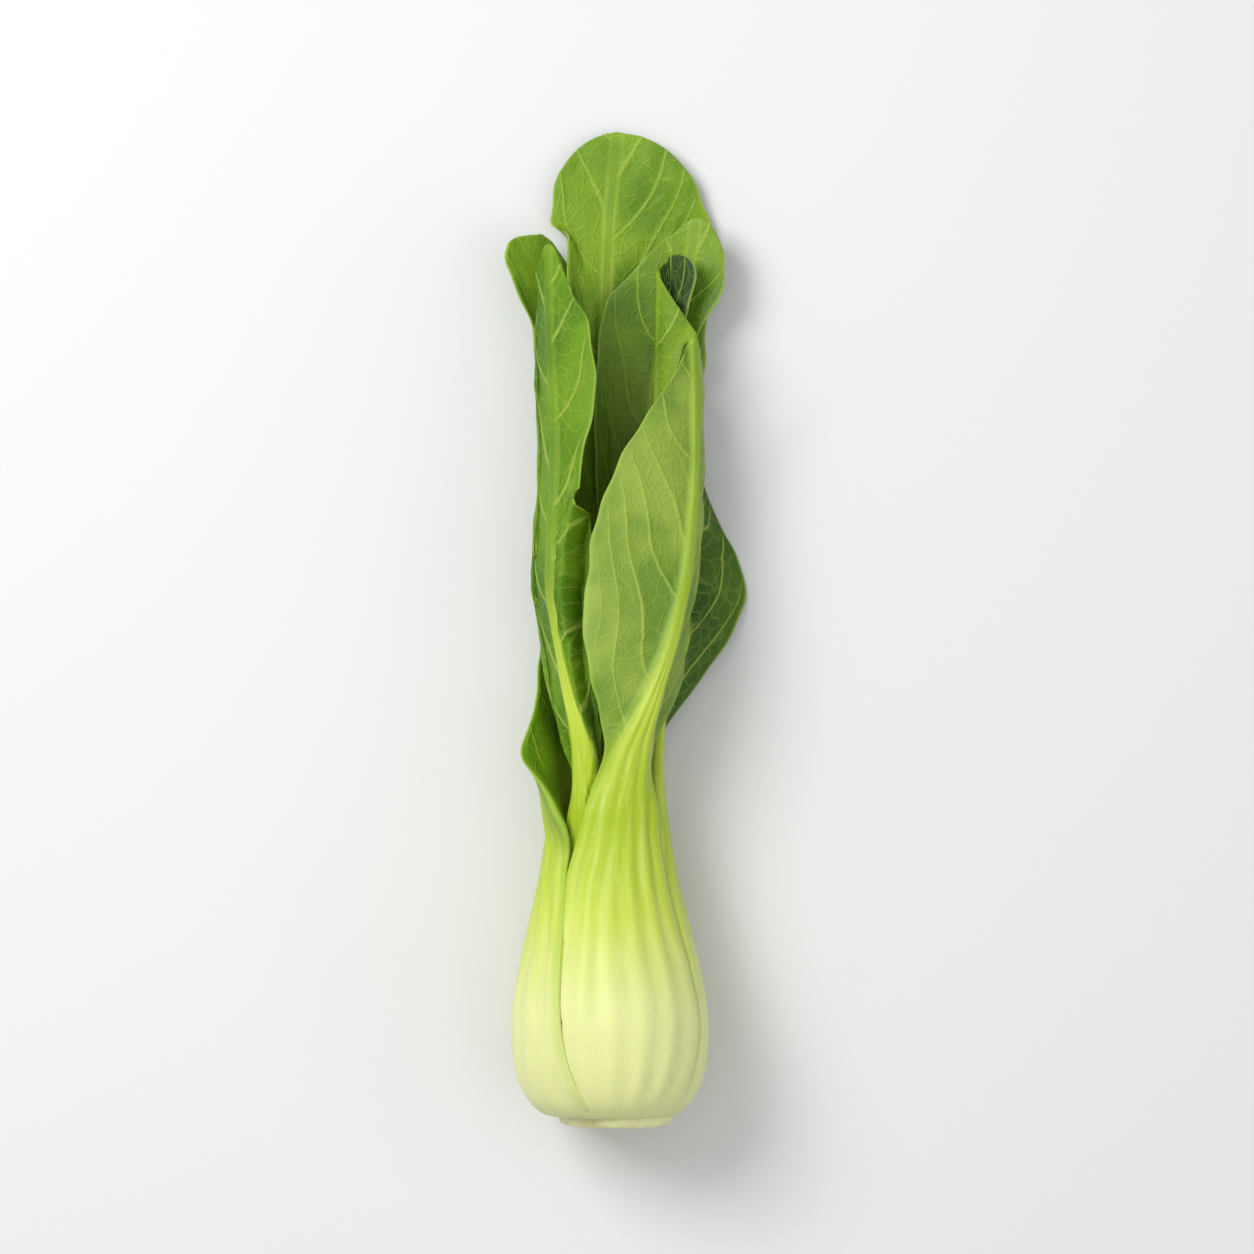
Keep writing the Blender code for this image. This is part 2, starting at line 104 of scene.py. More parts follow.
# The line that the leaves stand round: (height above the cut face, distance from the row frame's axis)
AXIS_X = [(0, 0.2), (30, 0), (60, -0.3), (90, 0.3), (130, 0.5), (176, 1.0)]
AXIS_Z = [(0, 16.9), (17, 16.95), (30, 16.1), (55, 14.0), (85, 13.0), (120, 12.6), (176, 12.2)]

# The stalks: (height, radius of the outer face) from the cut stem up to the neck
BULB = [(1.7, 9.0), (1.9, 11.2), (2.9, 13.0), (5.0, 14.8), (8.2, 16.1), (12.0, 16.9), (17.0, BULB_RADIUS),
        (21.5, 16.9), (26.5, 16.1), (31.0, 15.1), (36.0, 13.9), (41.5, 12.6), (46.5, 11.7), (52.0, 11.0)]
INNER_BULB = [(5.6, 6.2), (7.2, 8.2), (10.0, 9.6), (14.0, 10.6), (20.0, 10.9), (27.0, 10.6), (36.0, 10.0),
              (45.0, 9.3), (52.0, 9.0)]
HEART_BULB = [(7.8, 2.6), (9.4, 4.6), (12.2, 6.0), (16.2, 7.0), (22.2, 7.3), (29.2, 7.0), (38.2, 6.4)]

# Half widths and thicknesses of a stalk: (height, size)
OUTER_WIDTH = [(1.7, 6.8), (3, 8.8), (5, 11.2), (8, 13.8), (12, 15.8), (18, 17.2), (26, 15.8), (36, 12.6),
               (44, 10.2), (53, 7.8), (60, 6.6), (66, 5.2), (72, 3.2), (80, 1.9), (95, 1.2), (115, 0.8),
               (176, 0.7)]
OUTER_DEPTH = [(1.7, 3.0), (6, 4.4), (16, 5.4), (30, 4.9), (45, 3.3), (60, 2.0), (72, 1.5), (85, 1.2),
               (110, 0.95), (176, 0.8)]
INNER_WIDTH = [(5, 3.2), (12, 7.2), (20, 8.4), (32, 7.6), (45, 6.0), (56, 4.8), (66, 3.2), (76, 1.9),
               (90, 1.3), (115, 0.8), (176, 0.7)]
INNER_DEPTH = [(5, 1.8), (12, 3.4), (30, 3.2), (50, 1.6), (66, 1.3), (85, 1.1), (176, 0.8)]

# The leaves, from the outermost in. Places are heights above the cut face. radius is that of the outer
# face along the midrib and azimuth is the midrib's direction from the head's axis: 0 faces the viewer and
# 90 is to the right. face is the direction that the back of the leaf looks, where that differs. left and
# right are the blade's half widths. turn_* swings a half of the leaf outwards at the midrib, and curl_*
# says how it bends: 1 follows the round of the head, 0 is flat, more than 1 rolls it tighter, and less
# than 0 bends it outwards. The blade starts at blade_from, its round end is cap long and ends at tip, and
# the stalk runs up it as far as midrib_to. wave and phase are the size and the start of the margin's
# waves. lean makes a blade's end climb to the left and fall to the right of its midrib, as a pair of
# slopes for those sides. floor is how low the blade may lie, and gap is the air outside the leaf.
LEAVES = [
    dict(
        name="left_outer_leaf",
        radius=BULB + [(58, 11.2), (66, 12.0), (76, 13.0), (86, 13.6), (128, 13.6), (142, 14.2),
                       (150, 14.8), (158, 15.2)],
        azimuth=[(0, -85), (30, -85), (46, -90), (60, -101), (78, -114), (98, -119), (130, -119),
                 (158, -112)],
        left=[(46, 3), (56, 6), (66, 9), (80, 10.5), (105, 9.4), (132, 8.9), (142.5, 10.7), (150, 9),
              (158, 7)],
        right=[(46, 3), (53, 4), (58, 6.8), (66, 9), (74, 5.6), (84, 5.4), (110, 6.5), (135, 6), (141, 6.2),
               (146, 8.6), (155, 10.5), (158, 14)],
        turn_right=[(48, 0), (56, 25), (64, 58), (70, 50), (80, 8), (120, 0), (140, 15), (150, 38),
                    (158, 45)],
        curl_left=[(50, 1), (66, 0.8), (110, 0.8), (142, 0.6), (158, 0.8)],
        curl_right=[(50, 1), (62, 0.4), (74, 0.5), (90, 1), (130, 1), (150, 0.5)],
        blade_from=46, tip=158, cap=6, midrib_to=144, wave=0.4, phase=0.0, floor=0.0,
    ),
    dict(
        name="front_leaf",
        radius=BULB + [(58, 10.8), (66, 11.4), (76, 13.6), (88, 15.6), (102, 16.4), (118, 16.6),
                       (139, 16.8)],
        azimuth=[(0, 10), (20, 11), (40, 10), (52, 15), (64, 24), (76, 38), (88, 51), (102, 64), (118, 71),
                 (130, 69), (139, 65)],
        face=[(0, 10), (20, 11), (40, 10), (52, 14), (64, 20), (76, 25), (88, 28), (102, 32), (139, 38)],
        left=[(56, 3.6), (64, 5.0), (72, 8.8), (78, 12.6), (84, 16.0), (92, 18.8), (102, 19.6), (110, 17.9),
              (119, 14.8), (124, 11.4), (130, 6.8), (135, 3.6), (139, 2.5)],
        right=[(56, 4), (64, 6), (72, 8), (84, 11), (100, 12), (115, 9.5), (130, 7), (139, 4)],
        turn_right=[(56, 0), (76, -25), (90, -55), (139, -65)],
        curl_left=[(56, 1), (76, 0.7), (110, 0.6), (139, 0.8)],
        curl_right=[(56, 1), (90, 0.4), (139, 0.4)],
        blade_from=57, tip=139, cap=9, midrib_to=131, wave=0.25, phase=1.3,
    ),
    dict(
        name="right_outer_leaf",
        radius=BULB + [(60, 10.2), (69, 9.9), (76, 11.2), (84, 13.9), (95, 16.2), (120, 16.4), (141, 16.0)],
        azimuth=[(0, 96), (50, 96), (64, 91), (80, 90), (95, 94), (131, 100)],
        left=[(56, 4), (66, 8), (78, 9.5), (92, 7.5), (106, 5), (131, 4)],
        right=[(56, 3.5), (64, 5), (70, 6.5), (78, 9.5), (86, 12), (96, 13), (106, 11), (116, 7.5),
               (131, 5)],
        turn_right=[(56, 0), (66, 30), (76, 68), (86, 78), (98, 72), (118, 45), (131, 20)],
        curl_right=[(56, 1), (70, 0.3), (100, 0.3), (131, 0.8)],
        blade_from=57, tip=131, cap=13, midrib_to=118, wave=0.6, phase=2.1,
    ),
    dict(
        name="back_leaf",
        radius=BULB + [(60, 11.6), (74, 12.3), (90, 12.3), (120, 11.7), (150, 11.1), (176, 10.8)],
        azimuth=[(0, -180), (60, -179), (100, -175), (140, -172), (160, -174), (176, -182)],
        left=[(56, 4), (66, 8), (80, 12.5), (110, 16), (140, 18.2), (160, 18.8), (166, 17.7), (176, 17.3)],
        right=[(56, 4), (66, 8), (80, 11.5), (110, 13.5), (140, 12.2), (157, 9.6), (162, 10.6), (168, 12.6),
               (176, 13.5)],
        curl_left=[(56, 1), (80, 0.5), (108, 0.3), (132, 0.12), (147, -0.06), (160, 0.08), (176, 0.1)],
        curl_right=[(56, 1), (80, 0.5), (120, 0.3), (160, 0.1), (176, 0.1)],
        blade_from=57, tip=HEAD_LENGTH, cap=19, midrib_to=160, wave=0.2, phase=0.7, floor=0.0,
    ),
    dict(
        name="left_inner_leaf", inner=True,
        radius=INNER_BULB + [(60, 9.6), (70, 11.8), (84, 13.8), (98, 15.2), (120, 14.2), (140, 15.0),
                             (154, 15.2)],
        azimuth=[(0, -44), (40, -36), (56, -27), (66, -25), (76, -35), (88, -46), (96, -50), (128, -51),
                 (154, -54)],
        left=[(53, 3.5), (57, 6), (61, 9), (68, 11.5), (76, 13), (96, 13.5), (120, 12.5), (140, 10.5),
              (154, 9)],
        right=[(54, 3), (64, 5), (76, 6), (96, 8), (104, 8.6), (110, 6.6), (116, 6.4), (124, 8.6), (132, 10),
               (142, 10), (147, 7.5), (154, 6)],
        blade_from=53, tip=155.5, cap=22, midrib_to=138, wave=0.4, phase=3.0,
    ),
    dict(
        name="right_inner_leaf", inner=True,
        radius=INNER_BULB + [(60, 8.6), (80, 9.4), (110, 10.6), (135, 12.0), (160, 16.0)],
        azimuth=[(0, 150), (50, 147), (90, 142), (130, 134), (163, 112)],
        face=[(0, 150), (60, 150), (100, 156), (163, 166)],
        left=[(58, 3), (72, 4), (95, 4), (125, 4), (140, 6), (150, 8.5), (161, 8)],
        right=[(58, 3), (72, 6), (95, 10), (130, 14), (146, 13.8), (151, 12), (156, 10.3), (161, 6)],
        curl_left=[(56, 1), (90, 0.6), (165, 0.3)],
        curl_right=[(56, 1), (90, 0.5), (165, 0.3)],
        blade_from=58, tip=161, cap=19, midrib_to=146, wave=0.3, phase=4.4,
    ),
    dict(
        name="rolled_leaf", inner=True,
        radius=HEART_BULB + [(50, 4.6), (66, 2.6), (80, 2.4), (96, 4.0), (112, 6.5), (151, 6.9)],
        azimuth=[(0, -62), (50, -58), (66, -40), (80, 5), (96, 60), (112, 92), (151, 92)],
        face=[(0, -62), (66, -62), (100, -90), (151, -90)],
        left=[(76, 2), (92, 4), (110, 5.5), (124, 6), (136, 11), (145, 15.5), (151, 16.5)],
        right=[(76, 2), (92, 4), (110, 5.5), (124, 6), (134, 9), (142, 11.5), (151, 12)],
        turn_left=[(76, 0), (96, -45), (116, -110), (151, -110)],
        turn_right=[(76, 0), (96, -45), (116, -104), (151, -104)],
        curl_left=[(60, 1), (110, 0)],
        curl_right=[(60, 1), (110, 0)],
        blade_from=76, tip=151.5, cap=9, lean=(0.5, 0.85), gap=1.0, midrib_to=112, wave=0.15, phase=5.2,
    ),
]


def through(points):
    """A smooth curve through (place, value) points that is level past both ends and never overshoots."""
    x, y = np.array(points, float).T
    step = np.diff(x)
    rise = np.diff(y) / step
    slope = np.zeros(len(x))
    same_way = rise[1:] * rise[:-1] > 0
    before = np.where(same_way, rise[:-1], 1)
    after = np.where(same_way, rise[1:], 1)
    near, far = 2 * step[1:] + step[:-1], step[1:] + 2 * step[:-1]
    slope[1:-1] = np.where(same_way, (near + far) / (near / before + far / after), 0)

    def at(place):
        place = np.clip(place, x[0], x[-1])
        i = np.clip(np.searchsorted(x, place) - 1, 0, len(x) - 2)
        t = (place - x[i]) / step[i]
        start = y[i] * (1 + 2 * t) * (1 - t) ** 2 + slope[i] * step[i] * t * (1 - t) ** 2
        end = y[i + 1] * t * t * (3 - 2 * t) + slope[i + 1] * step[i] * t * t * (t - 1)
        return start + end

    return at


axis_x, axis_z = through(AXIS_X), through(AXIS_Z)


def eased(value):
    """0 below 0, 1 above 1, and smooth between."""
    value = np.clip(value, 0, 1)
    return value * value * (3 - 2 * value)


def between(value, start, end):
    """0 on the start's side, 1 on the end's side, and smooth between the two."""
    return eased((value - start) / (end - start))


class Room:
    """How far from the head's axis the next leaf may reach, in each direction and at each height."""

    def __init__(self):
        self.found = np.full((LEVELS, ANGLES), OPEN)
        self.smooth = self.found.copy()

    def add(self, points):
        """Takes up the lowest radius that these points leave free in each cell."""
        height = points[:, 1] + REST_AT
        x = points[:, 0] - axis_x(height)
        z = points[:, 2] - axis_z(height)
        level = np.clip(np.round(height / HEIGHT_STEP).astype(int), 0, LEVELS - 1)
        angle = np.round(np.degrees(np.arctan2(x, z)) / ANGLE_STEP).astype(int) % ANGLES
        np.minimum.at(self.found, (level, angle), np.hypot(x, z))
        self.smooth = self.blurred(self.lowered(self.found))

    @staticmethod
    def shifts(field, reach):
        """The field moved by each of the steps up to reach, both ways."""
        padded = np.pad(field, ((reach, reach), (0, 0)), mode="edge")
        for up in range(2 * reach + 1):
            for round_ in range(-reach, reach + 1):
                yield np.roll(padded[up:up + LEVELS], round_, axis=1)

    def lowered(self, field):
        wide = np.minimum.reduce(list(self.shifts(field, SPREAD)))
        close = np.minimum.reduce(list(self.shifts(field, 1)))
        return np.where(np.arange(LEVELS)[:, None] * HEIGHT_STEP < CLOSE_BELOW, close, wide)

    def blurred(self, field):
        return np.mean(list(self.shifts(field, SPREAD - 1)), axis=0)

    def at(self, angle, height):
        level = np.clip(height / HEIGHT_STEP, 0, LEVELS - 1.001)
        turn = (np.degrees(angle) / ANGLE_STEP) % ANGLES
        i, j = np.floor(level).astype(int), np.floor(turn).astype(int)
        up, across = level - i, turn - j
        field, j, k = self.smooth, j % ANGLES, (j + 1) % ANGLES
        low = field[i, j] * (1 - across) + field[i, k] * across
        high = field[i + 1, j] * (1 - across) + field[i + 1, k] * across
        return low * (1 - up) + high * up


class Leaf:
    """One leaf as a surface: a point of it for each distance across from the midrib and height."""

    def __init__(self, spec, room):
        self.name, self.inner, self.room = spec["name"], spec.get("inner", False), room
        self.radius, self.azimuth = through(spec["radius"]), through(spec["azimuth"])
        self.face = through(spec.get("face", spec["azimuth"]))
        self.blade_left, self.blade_right = through(spec["left"]), through(spec["right"])
        self.turns = [through(spec.get("turn_" + side, [(0, 0), (1, 0)])) for side in ("left", "right")]
        self.curls = [through(spec.get("curl_" + side, [(0, 1), (1, 1)])) for side in ("left", "right")]
        self.stalk_width = through(INNER_WIDTH if self.inner else OUTER_WIDTH)
        self.stalk_depth = through(INNER_DEPTH if self.inner else OUTER_DEPTH)
        self.base, self.gap = spec["radius"][0][0], spec.get("gap", LEAF_GAP)
        self.blade_from, self.tip, self.cap = spec["blade_from"], spec["tip"], spec["cap"]
        self.midrib_to, self.wave, self.phase = spec["midrib_to"], spec["wave"], spec["phase"]
        self.lean, self.floor = spec.get("lean", (0.0, 0.0)), spec.get("floor", BLADE_FLOOR)

    def blade_width(self, across, height):
        return np.where(across < 0, self.blade_left(height), self.blade_right(height))

    def air(self, height):
        return self.gap

    def takes_room(self, across, height):
        return np.full(np.shape(across), True)

    def section(self, across, height):
        """The leaf's cross section, seen along the head: x and z from the head's axis."""
        radius = self.radius(height)
        azimuth, face = np.radians(self.azimuth(height)), np.radians(self.face(height))
        is_left = across < 0
        turn = np.radians(np.where(is_left, self.turns[0](height), self.turns[1](height)))
        bend = np.where(is_left, self.curls[0](height), self.curls[1](height)) / radius
        far = np.abs(across)
        along, inward = np.zeros_like(far), np.zeros_like(far)
        for i in range(BEND_STEPS):
            here = far * (i + 0.5) / BEND_STEPS
            slope = bend * here - turn * (1 - np.exp(-here / FOLD))
            along = along + np.cos(slope) * far / BEND_STEPS
            inward = inward + np.sin(slope) * far / BEND_STEPS
        along = np.where(is_left, -along, along)
        x = radius * np.sin(azimuth) + along * np.cos(face) - inward * np.sin(face)
        z = radius * np.cos(azimuth) - along * np.sin(face) - inward * np.cos(face)
        return x, z

    def outer(self, across, height):
        """The leaf's outer face, kept inside the leaves outside it."""
        x, z = self.section(across, height)
        reach, angle = np.hypot(x, z), np.arctan2(x, z)
        share = across / self.stalk_width(height)
        ribs = np.where(np.abs(share) < 1, 0.5 - 0.5 * np.cos(2 * np.pi * RIBS * share), 0)
        fade = 1 - between(height, *RIBS_FADE)
        reach = reach + RIB_HEIGHT * ribs * fade * eased((height - self.base) / RIB_RISE)
        edge = np.abs(across) / self.blade_width(across, height)
        rise = eased((height - self.blade_from) / WAVE_RISE)
        shift = np.where(across < 0, 0, WAVE_SHIFT)
        wave = np.sin(2 * np.pi * height / WAVE_LENGTH + self.phase + shift)
        reach = reach + self.wave * rise * edge ** 3 * wave
        limit = self.room.at(angle, height) - self.air(height)
        reach = (reach + limit - np.hypot(reach - limit, SOFTNESS)) / 2
        x = axis_x(height) + reach * np.sin(angle)
        z = axis_z(height) + reach * np.cos(angle)
        return np.stack([x, height - REST_AT, z], axis=-1)

    def normal(self, across, height):
        """The direction out of the leaf's outer face."""
        sideways = self.outer(across + PROBE, height) - self.outer(across - PROBE, height)
        upward = self.outer(across, height + PROBE) - self.outer(across, height - PROBE)
        found = np.cross(sideways, upward)
        return found / np.linalg.norm(found, axis=-1, keepdims=True)

    def stalk_rows(self):
        """Heights at even steps along the stalk, closer together round the bulb."""
        height = np.linspace(self.base, self.midrib_to, ROW_PROBES)
        length = np.append(0, np.cumsum(np.hypot(np.diff(height), np.diff(self.radius(height)))))
        return lambda share: np.interp(length[-1] * share ** ROWS_TO_BASE, length, height)

    def stalk(self, u, v):
        """Where the stalk's grid lies, flat where it meets the table, and its thickness there."""
        height = self.stalk_rows()(v)
        across = u * self.stalk_width(height)
        depth = self.stalk_depth(height)
        edge = np.minimum(STALK_EDGE, EDGE_SHARE * depth)
        points = self.outer(across, height)
        points[..., 2] = np.maximum(points[..., 2], 0)
        return points, edge + (depth - edge) * (1 - u * u)

    def narrowing(self, height):
        """1 along the blade's sides, and falling to 0 round its end."""
        past = np.clip((height - (self.tip - self.cap)) / self.cap, 0, 1)
        return np.sqrt(1 - past * past)

    def grid(self, u, v, start, width):
        """Across and height for a grid from the start up to the blade's round end, past its corners."""
        corner = math.radians(CORNER)
        shoulder = self.tip - self.cap
        side_end = shoulder + self.cap * math.cos(corner)
        side = np.where(u < 0, -1.0, 1.0)
        share = np.abs(u)
        side_height = start + v * (side_end - start)
        middle_height = start + v * (self.tip - start)
        end_height = shoulder + self.cap * np.cos(share * corner)
        end_across = self.blade_width(side, end_height) * np.sin(share * corner)
        last = width(side, np.full_like(v, side_end))
        across = share * width(side, side_height) + v * (end_across - share * last)
        height = (1 - share) * middle_height + share * side_height
        height = height + v * (end_height - (1 - share) * self.tip - share * side_end)
        return side * across, height

    def outline(self, u, v):
        """Across and height for the solid blade's grid."""
        def width(side, height):
            return self.blade_width(side, height) * self.narrowing(height)

        across, height = self.grid(u, v, self.blade_from, width)
        return across, height - np.where(across < 0, *self.lean) * across * v * v

    def blade(self, u, v):
        """Where the blade's grid lies, against the inner side of the midrib, and its thickness."""
        across, height = self.outline(u, v)
        inside = self.stalk_depth(height) + STALK_GAP
        points = self.outer(across, height) - inside[..., None] * self.normal(across, height)
        points[..., 2] = np.maximum(points[..., 2], self.floor)
        return points, np.full_like(u, BLADE_THICKNESS)

    def fill_room(self):
        """Records both faces of the stalk and of the blade."""
        u, v = np.meshgrid(np.linspace(-1, 1, SAMPLES[0]), np.linspace(0, 1, SAMPLES[1]))
        u, v = u.ravel(), v.ravel()
        height = self.stalk_rows()(v)
        faces = []
        for across, height, (points, depth) in (
            (u * self.stalk_width(height), height, self.stalk(u, v)),
            (*self.outline(u, v), self.blade(u, v)),
        ):
            kept = self.takes_room(across, height)
            faces += [points[kept], (points - depth[..., None] * self.normal(across, height))[kept]]
        for points in faces:
            self.room.add(points)


# How the skin differs from the solids: millimetres again
SKIN_COLUMNS, SKIN_ROWS = 96, 260
COLUMNS_TO_MIDRIB = 1.25  # more than 1 gathers the columns towards the midrib
RIM_STEPS = 4  # rows of faces round the edge of the skin
INWARD = 2  # columns or rows in from the edge, where the rim takes its direction
BLADE_SKIN = 0.5  # thickness of the blade
EDGE_SKIN = 0.34  # and at its margin
JOIN = 10.0  # height over which the stalk's inner face becomes the blade's
JOIN_EARLY = 2.0  # and how far below the blade's foot that starts
JOIN_SOFTNESS = 0.8
MIDRIB_CREST = 0.42  # share of the stalk's half width that stays at its full height
MIDRIB_FALL = (0.8, 0.9)  # the fall beside it: share of the half width, and a length
MIDRIB_STANDS = [(40, 1.0), (66, 0.95), (85, 0.62), (110, 0.42), (176, 0.2)]  # share of the solid's height
SINK = 0.5  # share of the way from the solid midrib to the solid blade at which the skin lies
STALK_AIR = 0.25  # of LEAF_GAP, between the stalks where they press together
AIR_RISES = (45.0, 65.0)  # heights between which all of the gap comes back
FOOT_TURN = math.radians(53)  # half of the way round the stem that an outer stalk's foot takes up
FOOT_TO = 14.0  # height

# Relief, and waves in radians for each millimetre
MARGIN_BITES = 0.3
BITE_WAVES = (0.55, 0.23)
FIBRES = 27.0  # radians from the midrib to the stalk's edge
FIBRE_RELIEF = 0.015
FIBRE_SWAY = (2.0, 0.05)
FIBRES_START = (14.0, 44.0)
FIBRES_END = (40.0, 70.0)  # below the leaf's tip
FLUTES = 2.2  # broad flutes over half of an outer stalk, round its neck
FLUTE_RELIEF = 0.09
FLUTES_START = (34.0, 54.0)
FLUTES_END = (88.0, 68.0)
VEIN_SPACING = 13.0
VEIN_SHIFT = 0.5  # of the spacing, between the veins of the two halves
VEIN_SWAY = (0.12, 0.31)
VEIN_CLIMB = (0.75, 0.11)  # a side vein's rise per length across, and how that grows
VEIN_WIDTH = (0.5, 0.2)  # beside the midrib and at the margin
VEIN_RELIEF = 0.16
INNER_VEINS = 0.6  # share of that relief on the inner face
PUCKER = 0.22  # how far the blade swells between its side veins
# How quickly each of these grows from the margin inwards
THICKENS, VEINS_GROW, PUCKER_GROWS = 6.0, 5.0, 2.5

# Half widths of the left outer stalk on the side that lies over the front one: (height, size)
OVERLAP_LEAF = "left_outer_leaf"
OVERLAP = [(1.7, 12.2), (3.9, 17.0), (8.1, 17.4), (14.9, 16.8), (22.6, 15.6), (36, 12.3), (50, 9.1),
           (60, 6.8)]
OVERLAP_TO = 34.0  # height up to which this width counts as room taken
OVERLAP_LIES = 3.8  # how far its margin lies on the front stalk
OVERLAP_LIES_TO = 50.0
OVERLAP_RISE = 0.45  # how far it stands up there
OVERLAP_EASE = 2.5
OVERLAP_STARTS = (3.0, 9.0)
OVERLAP_ENDS = (50.0, 36.0)


def soft_max(a, b, softness):
    return (a + b + np.hypot(a - b, softness)) / 2


class Skin(Leaf):
    """A leaf as it is seen, with stalk, midrib and blade grown together."""

    def __init__(self, spec, room):
        super().__init__(spec, room)
        self.stands = through(MIDRIB_STANDS)

    def fill_overlap(self):
        """Records the foot of the left outer stalk as it is seen, which is wider than the solid's."""
        if self.name != OVERLAP_LEAF:
            return
        outer, inner, kept = self.grow()
        foot = (kept["height"] < OVERLAP_TO) & (kept["across"] > 0)
        foot = foot & self.takes_room(kept["across"], kept["height"])
        for points in (outer, inner):
            self.room.add(points[foot])

    def takes_room(self, across, height):
        """All but the margin of the left outer stalk, which lies on the front one."""
        if self.name != OVERLAP_LEAF:
            return super().takes_room(across, height)
        return (height > OVERLAP_LIES_TO) | (across < self.foot_width(across, height) - OVERLAP_LIES)

    def air(self, height):
        return self.gap * (STALK_AIR + (1 - STALK_AIR) * between(height, *AIR_RISES))

    def foot_width(self, side, height):
        """The stalk's half width, with the feet of the outer stalks closed round the stem."""
        stalk = self.stalk_width(height)
        if not self.inner:
            stalk = np.maximum(stalk, FOOT_TURN * self.radius(height) * (height < FOOT_TO))
        if self.name != OVERLAP_LEAF:
            return stalk
        return np.where((side > 0) & (height < OVERLAP[-1][0]), through(OVERLAP)(height), stalk)

    def half_width(self, side, height):
        """From the midrib to the margin: the stalk's edge below and the blade's above."""
        stalk = self.foot_width(side, height)
        wide = soft_max(stalk, self.blade_width(side, height), JOIN_SOFTNESS)
        width = stalk + (wide - stalk) * self.has_blade(height)
        bites = np.sin(height * BITE_WAVES[0] + self.phase + side)
        bites = bites * np.sin(height * BITE_WAVES[1] + WAVE_SHIFT * side)
        bites = bites * MARGIN_BITES * self.has_blade(height - JOIN)
        return (width + bites) * self.narrowing(height)

    def has_blade(self, height):
        """0 on the bare stalk and 1 where the blade is fully there."""
        return eased((height - self.blade_from + JOIN_EARLY) / JOIN)

    def lattice(self):
        """For the whole skin, from the stalk's foot to the blade's round end: across, height, margin.

        The last is the share of the way in from the margin to the midrib.
        """
        u = np.linspace(-1, 1, SKIN_COLUMNS + 1)
        u = np.sign(u) * np.abs(u) ** COLUMNS_TO_MIDRIB
        v = np.linspace(0, 1, SKIN_ROWS + 1) ** ROWS_TO_BASE
        u, v = np.meshgrid(u, v)
        across, height = self.grid(u, v, self.base, self.half_width)
        up = np.clip((height - self.blade_from) / (self.tip - self.blade_from), 0, 1)
        lean = np.where(across < 0, *self.lean)
        return across, height - lean * across * up * up, 1 - np.abs(u)

    def side_veins(self, across, height, margin):
        """Where each point lies among the side veins, one at each whole number, and how sharp they are."""
        far = np.abs(across)
        side = np.where(across < 0, 0.0, 1.0)
        climb = VEIN_CLIMB[0] * far + VEIN_CLIMB[1] * far * far
        sway = np.sin(VEIN_SWAY[1] * height + self.phase + WAVE_SHIFT * side)
        row = (height - climb) / VEIN_SPACING + VEIN_SHIFT * side + VEIN_SWAY[0] * sway
        slope = VEIN_CLIMB[0] + 2 * VEIN_CLIMB[1] * far
        thick = VEIN_WIDTH[1] + (VEIN_WIDTH[0] - VEIN_WIDTH[1]) * margin
        return row, VEIN_SPACING / np.hypot(1, slope) / thick

    def stalk_relief(self, share, height, beside):
        """Fine fibres and, on an outer leaf, the broad flutes round its neck."""
        on_stalk = (np.abs(share) < 1) * np.clip(1 - beside, 0, 1)
        sway = FIBRE_SWAY[0] * np.sin(FIBRE_SWAY[1] * height + self.phase)
        fibres = FIBRE_RELIEF * np.sin(FIBRES * share + sway) * between(height, *FIBRES_START)
        fibres = fibres * between(self.tip - height, *FIBRES_END)
        flutes = FLUTE_RELIEF * np.cos(2 * np.pi * FLUTES * share) * (not self.inner)
        flutes = flutes * between(height, *FLUTES_START) * between(height, *FLUTES_END)
        return (fibres + flutes) * on_stalk

    def overlap_rise(self, across, height, stalk):
        """How far the left outer stalk's margin stands up where it lies on the front stalk."""
        if self.name != OVERLAP_LEAF:
            return 0
        rise = OVERLAP_RISE * between(across - stalk, -OVERLAP_LIES, OVERLAP_EASE - OVERLAP_LIES)
        return rise * between(height, *OVERLAP_STARTS) * between(height, *OVERLAP_ENDS)

    def grow(self):
        """Points of the outer and inner face, and the numbers that the material reads at each."""
        across, height, margin = self.lattice()
        far = np.abs(across)
        stalk = self.foot_width(across, height)
        share = across / stalk
        blade = self.has_blade(height)
        depth = self.stalk_depth(height)
        crest = MIDRIB_CREST * stalk
        fall = MIDRIB_FALL[0] * stalk + MIDRIB_FALL[1]
        beside = eased((far - crest) / fall) * blade
        step = (depth + STALK_GAP) * self.stands(height)
        edge = np.minimum(STALK_EDGE, EDGE_SHARE * depth)
        bare = edge + (depth - edge) * (1 - np.clip(far / stalk, 0, 1) ** 2)
        thin = EDGE_SKIN + (BLADE_SKIN - EDGE_SKIN) * eased(margin * THICKENS)
        inside = bare * (1 - blade) + (step + thin) * blade

        row, sharp = self.side_veins(across, height, margin)
        strength = beside * eased(margin * VEINS_GROW)
        vein = VEIN_RELIEF * np.exp(-((row - np.round(row)) * sharp) ** 2) * strength
        swell = (np.sin(np.pi * row) ** 2 - 0.5) * strength * eased(margin * PUCKER_GROWS)
        sunk = SINK * (1 - self.stands(height)) * (depth + STALK_GAP) * blade
        both = self.overlap_rise(across, height, stalk) - sunk - PUCKER * swell
        outer_out = both - step * beside + vein + self.stalk_relief(share, height, beside)
        inner_out = both - inside - INNER_VEINS * vein

        outer, normal = self.outer(across, height), self.normal(across, height)
        top, under = outer + outer_out[..., None] * normal, outer + inner_out[..., None] * normal
        lift = np.maximum(-np.minimum(top[..., 2], under[..., 2]), 0)
        top[..., 2] += lift
        under[..., 2] += lift
        kept = {
            "across": across, "height": height, "share": share, "blade": beside, "row": row,
            "sharp": sharp, "veins": strength, "margin": margin,
        }
        return top, under, kept


def ring_of(grid):
    """The values along the edge of a grid, once round."""
    return np.concatenate([grid[0], grid[1:, -1], grid[-1, -2::-1], grid[-2:0:-1, 0]])


